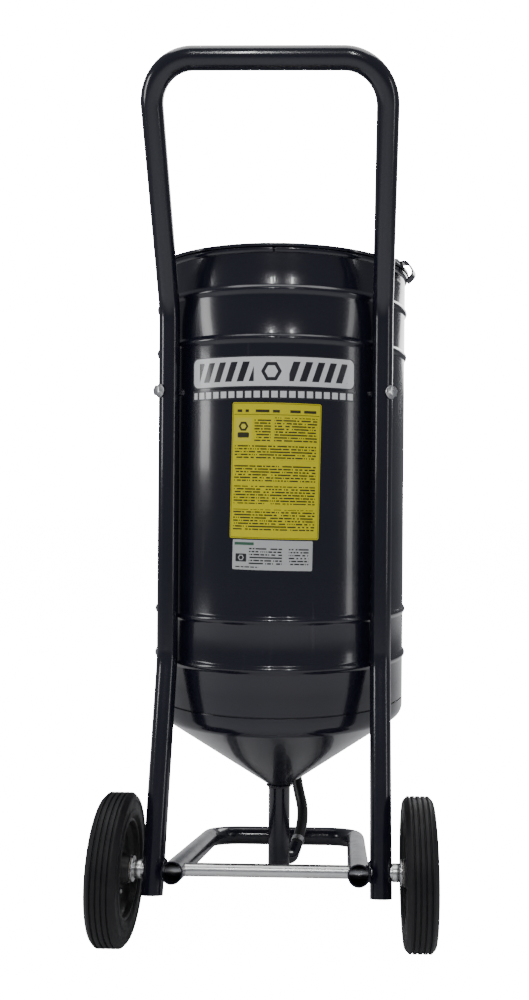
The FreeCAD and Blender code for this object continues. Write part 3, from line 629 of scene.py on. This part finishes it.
def make_wheel(side, body):
    """Solid rubber tyre with moulded ribs on a pressed hub."""
    place = about_wheel(side)
    half = WHEEL_HALF
    shoulder = 0.0065
    groove_pitch = 0.0076
    groove_floor = WHEEL_RADIUS - 0.0024
    outline = [(RIM_RADIUS, -half + 0.003, 0.0006), (RIM_RADIUS + 0.005, -half, 0.0014),
               (RIM_RADIUS + 0.012, -half, 0.0008), (RIM_RADIUS + 0.0135, -half + 0.0011, 0.0008),
               (WHEEL_RADIUS - shoulder - 0.007, -half + 0.0011, 0.0008),
               (WHEEL_RADIUS - shoulder - 0.0055, -half, 0.0008),
               (WHEEL_RADIUS - shoulder, -half, 0.0022), (WHEEL_RADIUS, -half + shoulder, 0.0018)]
    for groove in range(4):
        centre = groove_pitch * (groove - 1.5)
        outline += [(WHEEL_RADIUS, centre - 0.0014, 0.0005), (groove_floor, centre - 0.0007, 0.0004),
                    (groove_floor, centre + 0.0007, 0.0004), (WHEEL_RADIUS, centre + 0.0014, 0.0005)]
    outline += [(radius, -along, ease) for radius, along, ease in reversed(outline[:8])]
    form = lathe(eased(outline, steps=3), place, turns(144))
    publish(body + "_tread", form, TREAD, body, [body + "_tyre"])
    web = 0.003
    disc = RIM_RADIUS
    boss = 0.019
    rim_half = half - 0.0035
    far = 0.0085
    near = 0.021
    bore = 0.0125 + 0.00002
    outline = [
        (bore, -near, 0.0003), (boss, -near, 0.0012), (boss + 0.003, -web - 0.005, 0.003),
        (boss + 0.010, -web, 0.004), (disc - 0.012, -web, 0.004), (disc - 0.005, -web - 0.006, 0.003),
        (disc - 0.004, -rim_half, 0.0015), (disc - 0.0002, -rim_half, 0.0004),
        (disc - 0.0002, rim_half, 0.0004), (disc - 0.004, rim_half, 0.0015),
        (disc - 0.005, web + 0.006, 0.003), (disc - 0.012, web, 0.004),
        (boss + 0.010, web, 0.004), (boss + 0.003, web + 0.005, 0.0012), (boss + 0.002, far, 0.0008),
        (bore, far, 0.0003),
    ]
    form = lathe(eased(outline), place, turns(96))
    publish(body + "_disc", form, HUB, body, [body + "_hub"])


# ---------------------------------------------------------------- repeated details made with Geometry Nodes


class Growth:
    """A Geometry Nodes tree with named inputs; it ends in Realize Instances and Set Material."""

    def __init__(self, name, inputs):
        self.tree = bpy.data.node_groups.new(name, "GeometryNodeTree")
        self.tree.interface.new_socket("Path", in_out="INPUT", socket_type="NodeSocketGeometry")
        for label, kind in inputs.items():
            self.tree.interface.new_socket(label, in_out="INPUT", socket_type=kind)
        self.tree.interface.new_socket("Pieces", in_out="OUTPUT", socket_type="NodeSocketGeometry")
        self.start = self.tree.nodes.new("NodeGroupInput")
        self.end = self.tree.nodes.new("NodeGroupOutput")

    def given(self, label):
        return self.start.outputs[label]

    def node(self, kind, settings, values, out=0):
        item = self.tree.nodes.new(kind)
        for key, value in settings.items():
            setattr(item, key, value)
        for key, value in values.items():
            if isinstance(value, bpy.types.NodeSocket):
                self.tree.links.new(value, item.inputs[key])
            else:
                item.inputs[key].default_value = value
        return item.outputs[out]

    def close(self, instances, material):
        real = self.node("GeometryNodeRealizeInstances", {}, {0: instances})
        coated = self.node("GeometryNodeSetMaterial", {}, {"Geometry": real, "Material": material})
        self.tree.links.new(coated, self.end.inputs[0])

    def grow(self, name, carrier, values, slot, body="cart"):
        """Runs the tree on a carrier curve or mesh and keeps the result as one plain piece."""
        source = bpy.data.objects.new(name, carrier)
        bpy.context.scene.collection.objects.link(source)
        modifier = source.modifiers.new("growth", "NODES")
        modifier.node_group = self.tree
        for item in self.tree.interface.items_tree:
            if item.in_out == "INPUT" and item.name in values:
                modifier[item.identifier] = values[item.name]
        bpy.context.view_layer.update()
        seen = source.evaluated_get(bpy.context.evaluated_depsgraph_get())
        mesh = bpy.data.meshes.new_from_object(seen)
        mesh.shade_smooth()
        mesh.set_sharp_from_angle(angle=math.radians(40))
        source.modifiers.clear()
        bpy.data.objects.remove(source)
        piece = bpy.data.objects.new(name, mesh)
        bpy.context.scene.collection.objects.link(piece)
        settle(piece, body)


def loop_curve(name, points):
    """A closed curve of straight runs, only used as a carrier."""
    curve = bpy.data.curves.new(name, "CURVE")
    curve.dimensions = "3D"
    spline = curve.splines.new("POLY")
    spline.points.add(len(points) - 1)
    for spot, point in zip(points, spline.points):
        point.co = (*spot, 1)
    spline.use_cyclic_u = True
    return curve


def weld_growth(material):
    """Overlapping drops of weld metal along a loop."""
    growth = Growth("weld_drops", {"Pitch": "NodeSocketFloat", "Drop Radius": "NodeSocketFloat"})
    path = growth.node("GeometryNodeResampleCurve", {"mode": "LENGTH"},
                       {"Curve": growth.given("Path"), "Length": growth.given("Pitch")})
    drop = growth.node("GeometryNodeMeshIcoSphere", {},
                       {"Radius": growth.given("Drop Radius"), "Subdivisions": 3})
    uneven = growth.node("FunctionNodeRandomValue", {"data_type": "FLOAT_VECTOR"},
                         {0: (0.85, 0.85, 0.85), 1: (1.15, 1.15, 1.15), "Seed": 7})
    drops = growth.node("GeometryNodeInstanceOnPoints", {},
                        {"Points": path, "Instance": drop, "Scale": uneven})
    growth.close(drops, material)
    return growth


def rivet_growth(material):
    """Domed rivet heads, one at every point of the carrier, standing along its normal."""
    growth = Growth("rivet_heads", {"Head Radius": "NodeSocketFloat", "Head Height": "NodeSocketFloat"})
    dome = growth.node("GeometryNodeMeshUVSphere", {}, {"Segments": 24, "Rings": 12, "Radius": 1.0})
    shape = growth.node("ShaderNodeCombineXYZ", {}, {0: growth.given("Head Radius"),
                        1: growth.given("Head Radius"), 2: growth.given("Head Height")})
    normal = growth.node("GeometryNodeInputNormal", {}, {})
    turned = growth.node("FunctionNodeAlignEulerToVector", {"axis": "Z"}, {"Vector": normal})
    heads = growth.node("GeometryNodeInstanceOnPoints", {},
                        {"Points": growth.given("Path"), "Instance": dome,
                         "Rotation": turned, "Scale": shape})
    growth.close(heads, material)
    return growth


def ring_points(centre, normal, radius, count, start=0.0):
    side = normal.orthogonal().normalized()
    up = normal.cross(side)
    return [centre + side * radius * math.cos(start + angle) + up * radius * math.sin(start + angle)
            for angle in turns(count)]


def make_welds():
    growth = weld_growth(NAVY_TUBE)
    sizes = {"Pitch": 0.0021, "Drop Radius": 0.0024}
    for side, label in ((-1, "left"), (1, "right")):
        touch = Vector((side * (UPRIGHT_X + FOOT_X) / 2, AXLE.y, AXLE.z))
        carrier = loop_curve("weld_path", ring_points(touch, Vector((1, 0, 0)), 0.0125, 40))
        growth.grow("weld_leg_" + label, carrier, sizes, "navy_paint")
    throat = Vector((0, DRUM_Y, CONE_APEX_Z + CONE_SLOPE * PIPE_RADIUS - 0.0012))
    carrier = loop_curve("weld_path", ring_points(throat, Vector((0, 0, 1)), PIPE_RADIUS + 0.0012, 40))
    growth.grow("weld_outlet", carrier, sizes, "navy_paint")


def make_hub_rivets():
    growth = rivet_growth(ZINC_BOLT)
    sizes = {"Head Radius": 0.0042, "Head Height": 0.0026}
    for side, body in ((-1, "wheel_left"), (1, "wheel_right")):
        carrier = bpy.data.meshes.new("rivet_places")
        form = bmesh.new()
        for face in (-1, 1):
            centre = Vector((side * WHEEL_X + face * 0.0031, AXLE.y, AXLE.z))
            normal = Vector((face, 0, 0))
            for spot in ring_points(centre, Vector((1, 0, 0)), 0.038, 5, 0.4):
                vert = form.verts.new(spot)
                vert.normal = normal
        form.to_mesh(carrier)
        form.free()
        growth.grow(body + "_rivets", carrier, sizes, "bright_zinc", body)


# ---------------------------------------------------------------- CAD shapes with their edges broken


def copied_form(node):
    form = bmesh.new()
    form.from_mesh(frame["nodes"][node].data)
    bmesh.ops.remove_doubles(form, verts=form.verts, dist=0.00001)
    return form


def make_edged(node, width, material, body="cart"):
    """The node's own shape with small rounded edges."""
    piece = publish(node + "_finished", copied_form(node), material, body)
    bevel = piece.modifiers.new("edges", "BEVEL")
    bevel.width = width
    bevel.segments = 2
    bevel.limit_method = "ANGLE"
    bevel.angle_limit = math.radians(38)
    harden(piece)
    piece.data.shade_smooth()
    piece.data.set_sharp_from_angle(angle=math.radians(50))
    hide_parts(node)


def make_cast(node, voxel, rounds, material, body="cart"):
    """The node's own shape as a casting, every edge softened."""
    piece = publish(node + "_cast", copied_form(node), material, body)
    remesh = piece.modifiers.new("voxels", "REMESH")
    remesh.mode = "VOXEL"
    remesh.voxel_size = voxel
    remesh.use_smooth_shade = True
    smooth = piece.modifiers.new("soften", "SMOOTH")
    smooth.factor = 0.5
    smooth.iterations = rounds
    harden(piece)
    piece.data.materials.clear()
    piece.data.materials.append(material)
    piece.data.shade_smooth()
    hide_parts(node)


# ---------------------------------------------------------------- hose


HOSE_ROUTE = [
    (0.027, 0.077, 0.0365), (0.042, 0.129, 0.0665), (0.022, 0.176, 0.1195), (0.013, 0.223, 0.1825),
    (0.030, 0.271, 0.2555), (0.068, 0.278, 0.3425), (0.101, 0.270, 0.4625), (0.108, 0.266, 0.6325),
    (0.111, 0.265, 0.8125), (0.111, 0.266, 0.9045), (0.046, 0.266, 0.9695), (-0.046, 0.266, 0.9695),
    (-0.111, 0.266, 0.9045), (-0.114, 0.268, 0.7625), (-0.112, 0.271, 0.5925), (-0.111, 0.272, 0.4175),
    (-0.046, 0.273, 0.3525), (0.046, 0.278, 0.3525), (0.111, 0.289, 0.4175), (0.113, 0.300, 0.5525),
    (0.111, 0.301, 0.6475), (0.111, 0.301, 0.7345),
]


def make_hose():
    curve = bpy.data.curves.new("media_hose_run", "CURVE")
    curve.dimensions = "3D"
    spline = curve.splines.new("NURBS")
    spline.points.add(len(HOSE_ROUTE) - 1)
    for spot, point in zip(HOSE_ROUTE, spline.points):
        point.co = (*spot, 1)
    spline.order_u = 3
    spline.use_endpoint_u = True
    spline.resolution_u = 16
    curve.bevel_depth = HOSE_RADIUS
    curve.bevel_resolution = 8
    curve.use_fill_caps = True
    curve.materials.append(HOSE_BLACK)
    hose = bpy.data.objects.new("media_hose_run", curve)
    bpy.context.scene.collection.objects.link(hose)
    settle(hose, stands_for=["media_hose"])


# ---------------------------------------------------------------- printed labels on the back of the drum


class Print(Finish):
    """A finish for a flat print, measured in millimetres from its lower left corner."""

    def __init__(self, name, wide, tall, fixed):
        super().__init__(name, fixed)
        spread = self.node("ShaderNodeUVMap", {"uv_map": "flat"}, {})
        split = self.node("ShaderNodeSeparateXYZ", {}, {0: spread}).socket.node
        self.across = Signal(self, split.outputs[0]) * wide
        self.up = Signal(self, split.outputs[1]) * tall

    def patch(self, left, low, wide, tall, corner=0.5):
        """1 inside a box with round corners."""
        past_side = (abs(self.across - (left + wide / 2)) - (wide / 2 - corner)).larger(0)
        past_top = (abs(self.up - (low + tall / 2)) - (tall / 2 - corner)).larger(0)
        away = (past_side * past_side + past_top * past_top).root() - corner
        return 1 - self.ramp(away, -0.2, 0.2)

    def fine_print(self, left, low, wide, tall, pitch, letter=1.6):
        """Rows of small marks with gaps, like unreadable small type."""
        row = (self.up / pitch).floor()
        column = (self.across / letter).floor()
        cell = self.node("ShaderNodeCombineXYZ", {}, {0: column, 1: row})
        chance = self.node("ShaderNodeTexWhiteNoise", {"noise_dimensions": "2D"}, {"Vector": cell}, "Value")
        inked = ((self.up / pitch).fraction() < 0.48) * (chance > 0.24)
        return inked * self.patch(left, low, wide, tall, 0.2)

    def hexagon(self, middle_across, middle_up, reach, line):
        """The outline of a nut."""
        side = abs(self.across - middle_across)
        rise = abs(self.up - middle_up)
        spread = (side * 0.866 + rise * 0.5).larger(rise)
        return 1 - self.ramp(abs(spread - reach), line * 0.5 - 0.15, line * 0.5 + 0.15)

    def ink(self, paper, layers):
        """Lays colours over the paper, each through its own mask."""
        shade = paper
        for mask, colour in layers:
            shade = self.mix(mask, shade, colour)
        self.drive("Base Color", shade)
        fine = self.noise(300, 3)
        self.drive("Roughness", 0.30 + fine * 0.12)
        self.bump(fine * 0.00002)
        return self.material


WHITE_INK = (0.78, 0.79, 0.80)
DARK_INK = (0.012, 0.012, 0.020)


def badge_print():
    """White panel with a nut in its middle and slanted bars on both sides of it."""
    paper = Print("badge_print", 265, 47, {"Coat Weight": 0.4, "Coat Roughness": 0.1})
    field = paper.patch(2.0, 2.0, 261, 43, 9)
    slant = ((paper.across - paper.up * 0.35) / 19).fraction() < 0.56
    bars = slant * paper.patch(14, 9, 92, 29, 0.6).larger(paper.patch(159, 9, 92, 29, 0.6))
    nut = paper.hexagon(132.5, 23.5, 11, 5)
    return paper.ink(DARK_INK, [(field, WHITE_INK), (bars.larger(nut), DARK_INK)])


def dash_print():
    """Thin row of pale dashes under the badge."""
    paper = Print("dash_print", 265, 15, {"Coat Weight": 0.4, "Coat Roughness": 0.1})
    dashes = ((paper.across / 13.25).fraction() < 0.72) * paper.patch(3, 2.6, 259, 9.6, 0.4)
    return paper.ink(DARK_INK, [(dashes, WHITE_INK)])


def care_print():
    """Yellow sheet: dark heading band, small pictogram and blocks of fine print."""
    paper = Print("care_print", 136, 204, {"Coat Weight": 0.2, "Coat Roughness": 0.2})
    ink = (0.035, 0.032, 0.010)
    frame_line = paper.patch(1.2, 1.2, 133.6, 201.6, 2) - paper.patch(1.9, 1.9, 132.2, 200.2, 1.6)
    heading = paper.fine_print(8, 189, 120, 8.2, 8.6, 5.2)
    rule = paper.patch(3, 185.5, 130, 0.9, 0.3)
    picture = paper.patch(5, 146, 26, 35, 1.5)
    figure = paper.hexagon(18, 168, 5.2, 3.0).larger(paper.patch(9, 151, 18, 8, 2))
    side_type = paper.fine_print(35, 146, 25, 34, 4.3)
    beside = paper.fine_print(65, 146, 65, 36, 4.3)
    type_low = frame_line.larger(rule).larger(heading).larger(side_type).larger(beside)
    for low, tall in ((118, 22), (86, 25), (52, 27), (13, 31)):
        type_low = type_low.larger(paper.fine_print(5, low, 124, tall, 4.3))
    return paper.ink((0.74, 0.66, 0.006), [(type_low, ink), (picture, (0.76, 0.68, 0.05)), (figure, ink)])


def data_print():
    """Silver-white plate with a heading, a dark block and rows of small type."""
    paper = Print("data_print", 122, 45, {"Metallic": 0.25})
    ink = (0.03, 0.03, 0.035)
    heading = paper.patch(3, 37, 30, 4.2, 0.5)
    block = paper.patch(5, 12, 17, 12, 1.2) - paper.hexagon(13.5, 18, 3.4, 1.4)
    rows = paper.fine_print(26, 8, 50, 27, 4.4, 1.5).larger(paper.fine_print(86, 8, 30, 27, 4.4, 1.5))
    foot = paper.fine_print(5, 2.5, 36, 3.4, 3.4, 1.5)
    layers = [(heading, (0.06, 0.16, 0.10)), (block.larger(rows).larger(foot), ink)]
    return paper.ink((0.62, 0.63, 0.62), layers)


def make_label(name, left, low, wide, tall, corner, material, lean=0.0):
    """A thin sheet on the drum; sizes are along the wall, and lean is how far its top is off to the side."""
    form = bmesh.new()
    flat = form.loops.layers.uv.new("flat")
    thin = 0.00012
    lift = 0.00006
    edge_steps = [corner * (1 - math.cos(math.radians(15 * step))) for step in range(7)]
    plain = max(8, round(wide / 0.005))
    inner = [corner + (wide - 2 * corner) * step / plain for step in range(plain + 1)]
    stops = sorted(set(edge_steps + inner + [wide - step for step in edge_steps]))
    rows = max(2, round(tall / 0.02))
    sheets = []
    spread = {}
    for level in (DRUM_RADIUS + lift + thin, DRUM_RADIUS + lift):
        sheet = []
        for across in stops:
            into = min(across, wide - across)
            drop = 0.0
            if into < corner:
                drop = corner - math.sqrt(max(corner ** 2 - (corner - into) ** 2, 0))
            drop = min(drop, tall / 2 - 0.0004)
            column = []
            for row in range(rows + 1):
                up = drop + (tall - 2 * drop) * row / rows
                angle = (left + across + lean * up / tall) / DRUM_RADIUS
                vert = form.verts.new(about_drum(level, low + up - lean * across / tall, angle))
                spread[vert] = (across / wide, up / tall)
                column.append(vert)
            sheet.append(column)
        sheets.append(sheet)
    front, back = sheets
    last = len(stops) - 1
    for column in range(last):
        for row in range(rows):
            for sheet in (front, back):
                form.faces.new((sheet[column][row], sheet[column + 1][row],
                                sheet[column + 1][row + 1], sheet[column][row + 1]))
        for row in (0, rows):
            form.faces.new((front[column][row], front[column + 1][row],
                            back[column + 1][row], back[column][row]))
    for column in (0, last):
        for row in range(rows):
            form.faces.new((front[column][row], front[column][row + 1],
                            back[column][row + 1], back[column][row]))
    bmesh.ops.recalc_face_normals(form, faces=form.faces)
    for face in form.faces:
        for loop in face.loops:
            loop[flat].uv = spread[loop.vert]
    publish(name, form, material, smooth=40)


def make_labels():
    make_label("badge_label", -0.136, 0.8125, 0.267, 0.048, 0.010, badge_print())
    make_label("dash_label", -0.136, 0.7945, 0.267, 0.0155, 0.001, dash_print())
    make_label("care_label", -0.0655, 0.5865, 0.136, 0.204, 0.003, care_print(), 0.0035)
    make_label("data_label", -0.0610, 0.5395, 0.122, 0.045, 0.002, data_print(), 0.0008)


# ---------------------------------------------------------------- building everything


def dress():
    """Every carried-over node wears the finish of its slot."""
    for part in frame["record"]["subparts"]:
        slots = frame["nodes"][part["node"]].data.materials
        slots.clear()
        slots.append(SPECIAL.get(part["node"], BY_SLOT[part["material_slot"]]))


make_camera()
make_studio()

NAVY = navy_paint("navy_paint", 0.0006)
NAVY_TUBE = navy_paint("navy_tube_paint", 0.00005)
ZINC_AXLE = bright_zinc("zinc_turned", (0.15, 1.0, 1.0))
ZINC_BOLT = bright_zinc("zinc_bolt", (1.0, 1.0, 1.0))
TREAD = tread_rubber()
HOSE_BLACK = hose_rubber()
HUB = satin_black("hub_paint")
CASTING = plain_finish("gun_casting", (0.30, 0.31, 0.32), (0.42, 0.42, 0.43), 0.35, 0.8, 260, 0.00025)
CERAMIC = plain_finish("nozzle_ceramic", (0.72, 0.68, 0.60), (0.82, 0.79, 0.73), 0.45)
BRASS = plain_finish("fitting_brass", (0.60, 0.40, 0.16), (0.74, 0.54, 0.26), 0.24, 1.0)
NYLON = plain_finish("bush_nylon", (0.62, 0.60, 0.54), (0.76, 0.74, 0.68), 0.42)
BY_SLOT = {
    "navy_paint": NAVY_TUBE, "hub_paint": HUB, "bright_zinc": ZINC_BOLT, "tread_rubber": TREAD,
    "hose_rubber": HOSE_BLACK, "bush_nylon": NYLON, "gun_casting": CASTING, "nozzle_ceramic": CERAMIC,
    "fitting_brass": BRASS,
}
SPECIAL = {"axle_rod": ZINC_AXLE}

dress()
make_hose()
make_drum()
make_cone()
make_lid()
make_trolley()
for wheel_side, wheel_body in ((-1, "wheel_left"), (1, "wheel_right")):
    make_wheel(wheel_side, wheel_body)
make_welds()
make_hub_rivets()
make_labels()
for painted in ("hose_hook", "gun_hook"):
    make_edged(painted, 0.0006, NAVY_TUBE)
for plated in ("frame_bolts", "frame_bolt_nuts", "hook_bolts", "axle_spacers", "outer_washers",
               "inner_washers"):
    make_edged(plated, 0.0004, ZINC_BOLT)
make_cast("gun_body", 0.0011, 4, CASTING)
